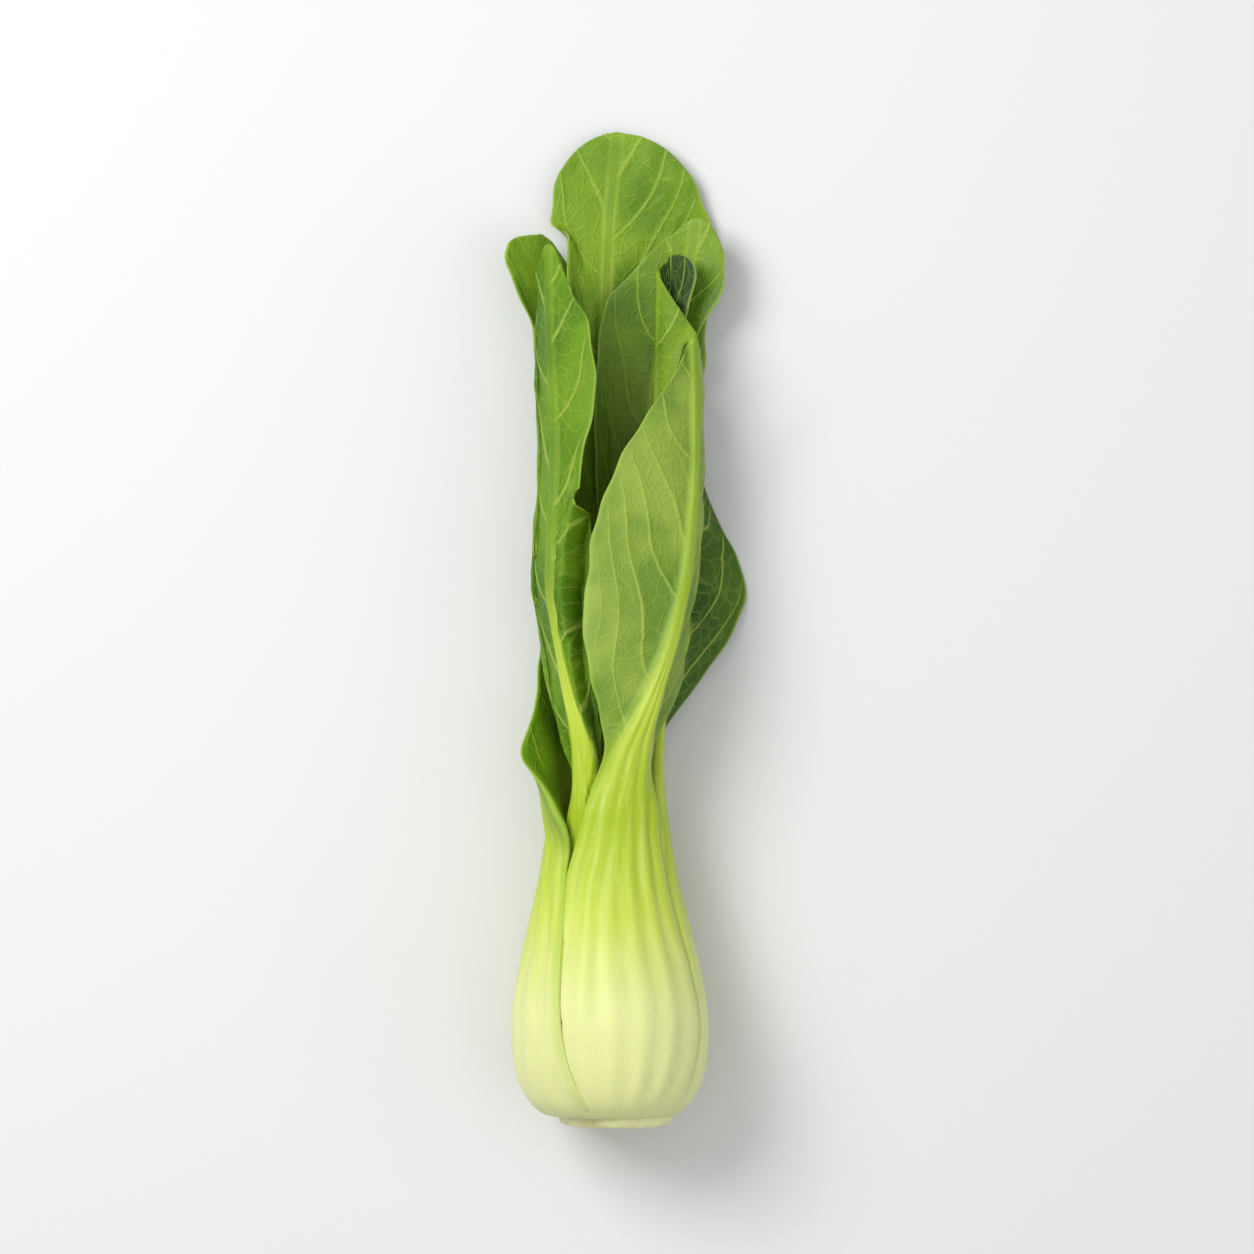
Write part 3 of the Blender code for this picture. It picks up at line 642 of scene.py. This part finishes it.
def unit(vectors):
    return vectors / np.maximum(np.linalg.norm(vectors, axis=-1, keepdims=True), TINY)


def rim_points(top, under, edge, within):
    """The rows of points between the two faces that round off the skin's edge."""
    middle, half = (top[edge] + under[edge]) / 2, (top[edge] - under[edge]) / 2
    out = middle - (top[within] + under[within]) / 2
    out = out - np.sum(out * unit(half), axis=1, keepdims=True) * unit(half)
    out = unit(out) * np.linalg.norm(half, axis=1, keepdims=True)
    turns = [math.pi * k / RIM_STEPS for k in range(1, RIM_STEPS)]
    return [middle + math.cos(turn) * half + math.sin(turn) * out for turn in turns]


def keep(mesh, name, values):
    values = np.concatenate(values).astype(np.float32)
    mesh.attributes.new(name, "FLOAT", "POINT").data.foreach_set("value", values)


def placed(name, data):
    """A new object in the scene."""
    thing = bpy.data.objects.new(name, data)
    bpy.context.scene.collection.objects.link(thing)
    return thing


def skin_piece(skin, look):
    """One closed mesh: both faces and a rounded rim between them."""
    outer, inner, kept = skin.grow()
    rows, columns = outer.shape[:2]
    count = rows * columns
    at = np.arange(count).reshape(rows, columns)
    edge = ring_of(at)
    inner_rows = np.clip(np.arange(rows), INWARD, rows - 1 - INWARD)
    inner_columns = np.clip(np.arange(columns), INWARD, columns - 1 - INWARD)
    within = ring_of(at[np.ix_(inner_rows, inner_columns)])
    top, under = outer.reshape(-1, 3), inner.reshape(-1, 3)
    points = np.concatenate([top, under] + rim_points(top, under, edge, within))
    points[:, 2] = np.maximum(points[:, 2], 0)
    between_faces = [2 * count + k * len(edge) + np.arange(len(edge)) for k in range(RIM_STEPS - 1)]
    loops = [edge] + between_faces + [edge + count]
    quads = np.stack([at[:-1, :-1], at[:-1, 1:], at[1:, 1:], at[1:, :-1]], axis=-1).reshape(-1, 4)
    faces = [quads, quads[:, ::-1] + count]
    for first, second in zip(loops, loops[1:]):
        faces.append(np.stack([first, second, np.roll(second, -1), np.roll(first, -1)], axis=-1))
    mesh = bpy.data.meshes.new(skin.name)
    mesh.from_pydata((points * MM).tolist(), [], np.concatenate(faces).tolist())
    mesh.validate()
    mesh.shade_smooth()
    for name, values in kept.items():
        values = values.ravel()
        keep(mesh, name, [values, values] + [values[edge]] * (RIM_STEPS - 1))
    rim = [np.full(len(edge), k / RIM_STEPS) for k in range(1, RIM_STEPS)]
    keep(mesh, "inside", [np.zeros(count), np.ones(count)] + rim)
    mesh.materials.append(look)
    return placed(skin.name, mesh)


class Nodes:
    """A short way to write a material's nodes."""

    def __init__(self, name):
        self.material = bpy.data.materials.new(name)
        self.material.use_nodes = True
        self.tree = self.material.node_tree
        self.shader = self.tree.nodes["Principled BSDF"]

    def surface(self, values):
        for name, value in values.items():
            self.shader.inputs[name].default_value = value

    def put(self, socket, value):
        if isinstance(value, bpy.types.NodeSocket):
            self.tree.links.new(value, socket)
        else:
            socket.default_value = value

    def kept(self, name):
        """A number that the mesh keeps at each of its points."""
        node = self.node("Attribute")
        node.attribute_name = name
        return node.outputs["Fac"]

    def node(self, kind, *values):
        """A new node that starts with these values or sockets as its inputs."""
        node = self.tree.nodes.new("ShaderNode" + kind)
        for socket, value in zip(node.inputs, values):
            self.put(socket, value)
        return node

    def math(self, operation, *values):
        node = self.node("Math", *values)
        node.operation = operation
        return node.outputs[0]

    def vector(self, x, y):
        return self.node("CombineXYZ", x, y).outputs[0]

    def noise(self, place, scale, detail=3.0, roughness=0.5):
        node = self.node("TexNoise", place)
        node.inputs["Scale"].default_value = scale
        node.inputs["Detail"].default_value = detail
        node.inputs["Roughness"].default_value = roughness
        return node.outputs["Fac"]

    def cells(self, place, scale):
        """Distance from the edges of a net of cells."""
        node = self.node("TexVoronoi", place)
        node.feature = "DISTANCE_TO_EDGE"
        node.inputs["Scale"].default_value = scale
        return node.outputs["Distance"]

    def spread(self, value, low, high, to_low=0.0, to_high=1.0):
        """to_low where the value is at low, to_high where it is at high, and smooth between."""
        node = self.node("MapRange", value, low, high, to_low, to_high)
        node.interpolation_type = "SMOOTHSTEP"
        return node.outputs["Result"]

    def ramp(self, value, stops):
        node = self.node("ValToRGB", value)
        elements = node.color_ramp.elements
        while len(elements) < len(stops):
            elements.new(1.0)
        for element, (place, colour) in zip(elements, stops):
            element.position = place
            element.color = (*colour, 1.0)
        return node.outputs["Color"]

    def mix(self, share, a, b, blend="MIX"):
        node = self.node("Mix")
        node.data_type = "RGBA"
        node.blend_type = blend
        self.put(node.inputs["Factor"], share)
        for socket, value in zip((node.inputs["A"], node.inputs["B"]), (a, b)):
            value = value if isinstance(value, bpy.types.NodeSocket) else (*value, 1.0)
            self.put(socket, value)
        return node.outputs["Result"]

    def bump(self, height, distance):
        node = self.node("Bump")
        node.inputs["Distance"].default_value = distance
        self.put(node.inputs["Height"], height)
        self.tree.links.new(node.outputs["Normal"], self.shader.inputs["Normal"])


# The stalk's colour from its foot up: (share of the head's length, (red, green, blue))
STALK_STOPS = [(0.0, (0.66, 0.68, 0.30)), (0.03, (0.74, 0.76, 0.34)), (0.12, (0.72, 0.75, 0.32)),
               (0.21, (0.55, 0.64, 0.09)), (0.31, (0.38, 0.51, 0.02)), (0.42, (0.50, 0.62, 0.06)),
               (0.56, (0.25, 0.37, 0.02)), (0.8, (0.20, 0.32, 0.015))]
STREAK_GREEN, STREAK_PALE, STALK_RIM = (0.32, 0.48, 0.012), (0.74, 0.78, 0.32), (0.36, 0.50, 0.04)
STREAKS_DRAWN = 0.012  # of the height, which draws the streaks out along the stalk
GREENER = (12.0, 56.0, 0.05, 0.34)  # two heights, and how much of the green streaks shows at each
RIM_GREENER = (6.0, 40.0, 0.3, 0.85)  # the same for the stalk's two edges
PALER = 0.25
EDGE_FROM = 0.86  # share of the stalk's half width at which its edge starts

# The blade: factors for its darker and lighter patches, and (red, green, blue) of its veins and margin
DARKER, LIGHTER = (0.6, 0.72, 0.5), (1.25, 1.15, 1.2)
VEINS_BACK, VEINS_FRONT, MARGIN_COLOUR = (0.36, 0.47, 0.07), (0.30, 0.44, 0.04), (0.38, 0.52, 0.08)
VEIN_WANDER = 0.16
NET_DRAWN = 0.75  # of the height, which draws the net of veins out along the leaf
# Of the net and of the finer one inside it: cells per millimetre, width of a line, and strength
NET, FINE_NET = (0.42, 0.09, 0.2), (1.3, 0.12, 0.08)
SIDE_VEINS = 0.7  # strength
MARGIN_SHARE, MARGIN_STRENGTH = 0.05, 0.45
GREEN_OVER, GREEN_MOST = 25.0, 0.8  # over which height the midrib turns green, and how far
INNER_GREEN_OVER = 8.0

STALK_ROUGH, BACK_ROUGH, FRONT_ROUGH, UNEVEN_ROUGH = 0.36, 0.52, 0.34, 0.16
LEAF_SURFACE = {
    "Subsurface Weight": 0.25, "Subsurface Radius": (0.9, 1.0, 0.35), "Subsurface Scale": 0.0022,
    "Coat Weight": 0.05, "Specular IOR Level": 0.26, "Coat Roughness": 0.22, "IOR": 1.42,
}
LEAF_BUMP = 0.00022
# Shares of that bump: the skin's grain, side veins, the two nets and the stalk's streaks
BUMPS = {"grain": 0.35, "line": 0.5, "net": 0.35, "fine": 0.15, "streaks": 0.45}

# Blade colours, (red, green, blue), of the matte outer face and the glossy inner face, then the heights
# from which the midrib fades into the blade and from which the inner face has no pale midrib
GREENS_WITH_PAINTED_SHADE = {
    "left_outer_leaf": ((0.12, 0.24, 0.008), (0.17, 0.32, 0.012), 100.0, 50.0),
    "front_leaf": ((0.225, 0.345, 0.045), (0.10, 0.22, 0.005), 160.0, 180.0),
    # painted shade: this leaf's inner-face green is near black and stands for the deep shadow it lies in,
    # over the inner face from the last height up
    "right_outer_leaf": ((0.05, 0.12, 0.005), (0.018, 0.07, 0.001), 120.0, 66.0),
    "back_leaf": ((0.17, 0.29, 0.02), (0.165, 0.30, 0.012), 150.0, 180.0),
    "left_inner_leaf": ((0.105, 0.235, 0.003), (0.07, 0.18, 0.002), 84.0, 180.0),
    "right_inner_leaf": ((0.17, 0.28, 0.02), (0.14, 0.255, 0.015), 140.0, 180.0),
    # painted shade: this leaf's inner-face green is near black and stands for the deep shadow inside the
    # roll, over the inner face from the last height up
    "rolled_leaf": ((0.17, 0.30, 0.012), (0.01, 0.04, 0.0005), 100.0, 90.0),
}


def stalk_colour(n, height, share, streaks):
    """Cream at the bulb and yellow-green above, with streaks and greener edges."""
    stalk = n.ramp(n.math("DIVIDE", height, HEAD_LENGTH), STALK_STOPS)
    greener = n.math("MULTIPLY", n.spread(streaks, 0.42, 0.66), n.spread(height, *GREENER))
    stalk = n.mix(greener, stalk, STREAK_GREEN)
    stalk = n.mix(n.math("MULTIPLY", n.spread(streaks, 0.5, 0.3), PALER), stalk, STREAK_PALE)
    edge = n.spread(n.math("ABSOLUTE", share), EDGE_FROM, 1.0)
    return n.mix(n.math("MULTIPLY", edge, n.spread(height, *RIM_GREENER)), stalk, STALK_RIM)


def vein_lines(n, across, height, place):
    """The side veins, the net between them and the finer net: each 1 on its lines and 0 beside them."""
    veins = n.kept("veins")
    wander = n.math("MULTIPLY_ADD", n.noise(place, 0.12, 2.0), VEIN_WANDER, -VEIN_WANDER / 2)
    row = n.math("ADD", n.kept("row"), wander)
    off = n.math("ABSOLUTE", n.math("SUBTRACT", row, n.math("ROUND", row)))
    lines = [n.math("MULTIPLY", n.spread(n.math("MULTIPLY", off, n.kept("sharp")), 1.2, 0.2), veins)]
    drawn = n.vector(across, n.math("MULTIPLY", height, NET_DRAWN))
    for scale, width, _ in (NET, FINE_NET):
        lines.append(n.math("MULTIPLY", n.spread(n.cells(drawn, scale), width, 0.0), veins))
    return lines


def blade_colour(n, place, inside, faces, lines):
    """Green in soft patches, with pale veins and a pale margin."""
    line, net, fine = lines
    green = n.mix(inside, *faces)
    darker = n.mix(1.0, green, DARKER, "MULTIPLY")
    lighter = n.mix(1.0, green, LIGHTER, "MULTIPLY")
    green = n.mix(n.spread(n.noise(place, 0.06, 3.0), 0.35, 0.65), darker, lighter)
    pale = n.mix(inside, VEINS_BACK, VEINS_FRONT)
    for lines_here, strength in ((fine, FINE_NET[2]), (net, NET[2]), (line, SIDE_VEINS)):
        green = n.mix(n.math("MULTIPLY", lines_here, strength), green, pale)
    return n.mix(n.spread(n.kept("margin"), MARGIN_SHARE, 0.0, 0.0, MARGIN_STRENGTH), green, MARGIN_COLOUR)


def leaf_surface(n, place, inside, blade, streaks, lines):
    """Roughness, the soft light inside the leaf, and the finest relief."""
    line, net, fine = lines
    gloss = n.spread(inside, 0.0, 1.0, BACK_ROUGH, FRONT_ROUGH)
    rough = n.math("MULTIPLY_ADD", n.math("SUBTRACT", gloss, STALK_ROUGH), blade, STALK_ROUGH)
    uneven = n.math("MULTIPLY_ADD", n.noise(place, 0.9, 3.0), UNEVEN_ROUGH, -UNEVEN_ROUGH / 2)
    n.put(n.shader.inputs["Roughness"], n.math("ADD", rough, uneven))
    n.surface(LEAF_SURFACE)
    relief = n.math("MULTIPLY", line, BUMPS["line"])
    stalk_streaks = n.math("MULTIPLY", streaks, n.math("SUBTRACT", 1.0, blade))
    for name, part in (("grain", n.noise(place, 3.2, 3.0, 0.6)), ("net", net), ("fine", fine),
                       ("streaks", stalk_streaks)):
        relief = n.math("MULTIPLY_ADD", part, BUMPS[name], relief)
    n.bump(relief, LEAF_BUMP)


def leaf_material(name, back, front, green_from, inner_green_from):
    """back and front colour the blade's matte outer face and its glossy inner face.

    green_from is the height from which the midrib fades into the blade, and inner_green_from is that
    from which the inner face has no pale midrib.
    """
    n = Nodes(name)
    across, height, share, inside = (n.kept(value) for value in ("across", "height", "share", "inside"))
    all_green = n.spread(height, inner_green_from, inner_green_from + INNER_GREEN_OVER)
    within = n.math("MULTIPLY", inside, all_green)
    fading = n.spread(height, green_from, green_from + GREEN_OVER, 0.0, GREEN_MOST)
    blade = n.math("MAXIMUM", n.math("MAXIMUM", n.kept("blade"), fading), within)
    place = n.vector(across, height)
    streaks = n.noise(n.vector(share, n.math("MULTIPLY", height, STREAKS_DRAWN)), 6.0, 3.0, 0.55)
    lines = vein_lines(n, across, height, place)
    stalk = stalk_colour(n, height, share, streaks)
    green = blade_colour(n, place, inside, (back, front), lines)
    n.put(n.shader.inputs["Base Color"], n.mix(blade, stalk, green))
    leaf_surface(n, place, inside, blade, streaks, lines)
    return n.material


def leaves():
    """The leaves from the outermost in, each kept inside those before it."""
    room = Room()
    for spec in LEAVES:
        skin = Skin(spec, room)
        piece = skin_piece(skin, leaf_material(skin.name, *GREENS_WITH_PAINTED_SHADE[skin.name]))
        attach(piece, "root")
        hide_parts(skin.name + "_stalk", skin.name + "_blade")
        skin.fill_room()
        skin.fill_overlap()


# The cut stem: (radius, height) round from the middle of the cut face to the middle of its top
CUT_PROFILE = [(0.01, 0.55), (3.2, 0.5), (5.4, 0.35), (6.2, 0.15), (7.4, 0.2), (8.4, 0.1), (9.2, 0.2),
               (9.7, 0.5), (10.0, 1.0), (10.2, 1.8), (10.1, 2.6), (9.6, 3.6), (8.2, 4.8), (5.0, 6.5),
               (0.01, 7.3)]
CUT_ASIDE = 1.2  # how far right of the head's axis the stem was trimmed
CUT_SIDES = 160
CUT_ROWS = 90
CUT_SHRINK = 0.97
CUT_RIM = (5.0, 9.0)  # radii between which the outline becomes uneven
CUT_UNEVEN = ((0.035, 3, 0.6), (0.025, 7, 2.0), (0.012, 17, 0.0))  # share of the radius, waves, and shift
CUT_FACE_TO = 1.2  # height up to which the cut is rough
CUT_CENTRE = 3.0  # radius inside which it grows smooth
# Colour from the middle of the cut out to CUT_COLOURED_TO: (share, (red, green, blue))
CUT_COLOURED_TO = 10.75
CUT_STOPS = [(0.0, (0.76, 0.76, 0.44)), (0.62, (0.82, 0.82, 0.48)), (0.8, (0.70, 0.70, 0.32)),
             (0.88, (0.80, 0.80, 0.40)), (1.0, (0.82, 0.83, 0.42))]
STAIN, SPOT = (0.48, 0.40, 0.13), (0.86, 0.84, 0.56)
SPOTS_SCALE, STAINS_SCALE = 900.0, 260.0  # for each metre
CUT_SURFACE = {
    "Roughness": 0.62, "Subsurface Weight": 0.2, "Subsurface Radius": (1.0, 0.9, 0.4),
    "Subsurface Scale": 0.002,
}
CUT_BUMP = 0.0003


def cut_material():
    n = Nodes("cut_stem")
    place = n.node("TexCoord").outputs["Object"]
    spots = n.noise(place, SPOTS_SCALE, 4.0, 0.6)
    stains = n.noise(place, STAINS_SCALE, 3.0)
    colour = n.ramp(n.kept("ring"), CUT_STOPS)
    colour = n.mix(n.spread(stains, 0.55, 0.75, 0.0, 0.45), colour, STAIN)
    colour = n.mix(n.spread(spots, 0.55, 0.75, 0.0, 0.4), colour, SPOT)
    n.put(n.shader.inputs["Base Color"], colour)
    n.surface(CUT_SURFACE)
    n.bump(spots, CUT_BUMP)
    return n.material


def cut_points():
    """The stem's grid of points, in rows from the middle of the cut, and the radius at each."""
    radii, heights = np.array(CUT_PROFILE).T
    length = np.append(0, np.cumsum(np.hypot(np.diff(radii), np.diff(heights))))
    share = np.linspace(0, length[-1], CUT_ROWS)
    radius = through(list(zip(length, radii)))(share)
    height = through(list(zip(length, heights)))(share)
    angle = np.linspace(0, 2 * np.pi, CUT_SIDES, endpoint=False)
    radius, angle = np.meshgrid(radius, angle, indexing="ij")
    height = np.repeat(height[:, None], CUT_SIDES, axis=1)
    uneven = sum(size * np.sin(waves * angle + shift) for size, waves, shift in CUT_UNEVEN)
    radius = radius * (CUT_SHRINK + uneven * between(radius, *CUT_RIM))
    long_waves = 0.12 * np.sin(5 * angle + radius) * np.sin(radius * 1.7)
    short_waves = 0.08 * np.sin(23 * angle + 2 * radius)
    rough = (long_waves + short_waves) * eased(radius / CUT_CENTRE) * (height < CUT_FACE_TO)
    height = np.maximum(height + rough, 0)
    x = float(axis_x(0)) + CUT_ASIDE + radius * np.sin(angle)
    z = float(axis_z(0)) + radius * np.cos(angle)
    return np.stack([x, height - REST_AT, z], axis=-1).reshape(-1, 3), radius


def cut_stem():
    """The trimmed stem: a rough cut face, an uneven rim and a foot that the stalks grow from."""
    points, radius = cut_points()
    at = np.arange(len(points)).reshape(CUT_ROWS, CUT_SIDES)
    after = np.roll(at, -1, axis=1)
    faces = np.stack([at[:-1], at[1:], after[1:], after[:-1]], axis=-1).reshape(-1, 4).tolist()
    faces += [at[0][::-1].tolist(), at[-1].tolist()]
    mesh = bpy.data.meshes.new("cut_stem")
    mesh.from_pydata((points * MM).tolist(), [], faces)
    mesh.shade_smooth()
    keep(mesh, "ring", radius / CUT_COLOURED_TO)
    bm = bmesh.new()
    bm.from_mesh(mesh)
    bmesh.ops.recalc_face_normals(bm, faces=bm.faces)
    bm.to_mesh(mesh)
    bm.free()
    mesh.materials.append(cut_material())
    piece = placed("cut_stem", mesh)
    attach(piece, "root")
    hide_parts("cut_base")


# The studio, in metres
FRAME_HEIGHT = 0.222  # of the table that the picture shows
CAMERA_ABOVE = 1.2
SENSOR = 36.0  # millimetres
FLOOR_HALF = 4.0
FLOOR_DROP = 0.00005  # below the head, so that the two don't share a face
FLOOR_SURFACE = {"Base Color": (0.72, 0.72, 0.715, 1), "Roughness": 0.8}
# name, place, width and power in watts
LAMPS = (
    ("key", (-0.42, 0.40, 0.62), 0.4, 5.2),
    ("fill", (0.6, -0.1, 0.6), 0.8, 1.4),
    ("top", (0.0, 0.1, 0.9), 0.9, 2.0),
)
SKY_COLOUR = (0.95, 0.97, 1.0, 1)
SKY_STRENGTH = 0.4


def put_camera(middle):
    """Straight above the head, looking down on it."""
    camera = placed("camera", bpy.data.cameras.new("camera"))
    camera.data.sensor_width = SENSOR
    camera.data.lens = SENSOR * CAMERA_ABOVE / FRAME_HEIGHT
    camera.location = (middle[0], middle[1], middle[2] + CAMERA_ABOVE)
    bpy.context.scene.camera = camera


def put_floor():
    mesh = bpy.data.meshes.new("floor")
    corners = [(x * FLOOR_HALF, y * FLOOR_HALF, 0) for x, y in ((-1, -1), (1, -1), (1, 1), (-1, 1))]
    mesh.from_pydata(corners, [], [(0, 1, 2, 3)])
    floor = placed("floor", mesh)
    floor.location.z = -FLOOR_DROP
    n = Nodes("floor")
    n.surface(FLOOR_SURFACE)
    mesh.materials.append(n.material)


def put_lights(middle):
    """Soft lamps aimed at the head, and a pale sky all round."""
    for name, place, width, power in LAMPS:
        light = bpy.data.lights.new(name, "AREA")
        light.size = width
        light.energy = power
        lamp = placed(name, light)
        lamp.location = place
        lamp.rotation_euler = (Vector(middle) - Vector(place)).to_track_quat("-Z", "Y").to_euler()
    world = bpy.data.worlds.new("world")
    world.use_nodes = True
    sky = world.node_tree.nodes["Background"].inputs
    sky["Color"].default_value = SKY_COLOUR
    sky["Strength"].default_value = SKY_STRENGTH
    bpy.context.scene.world = world


def studio():
    middle = [(low + high) / 2 for low, high in zip(*cad_box)]
    bpy.context.scene.view_settings.view_transform = "Standard"
    put_camera(middle)
    put_floor()
    put_lights(middle)


leaves()
cut_stem()
studio()
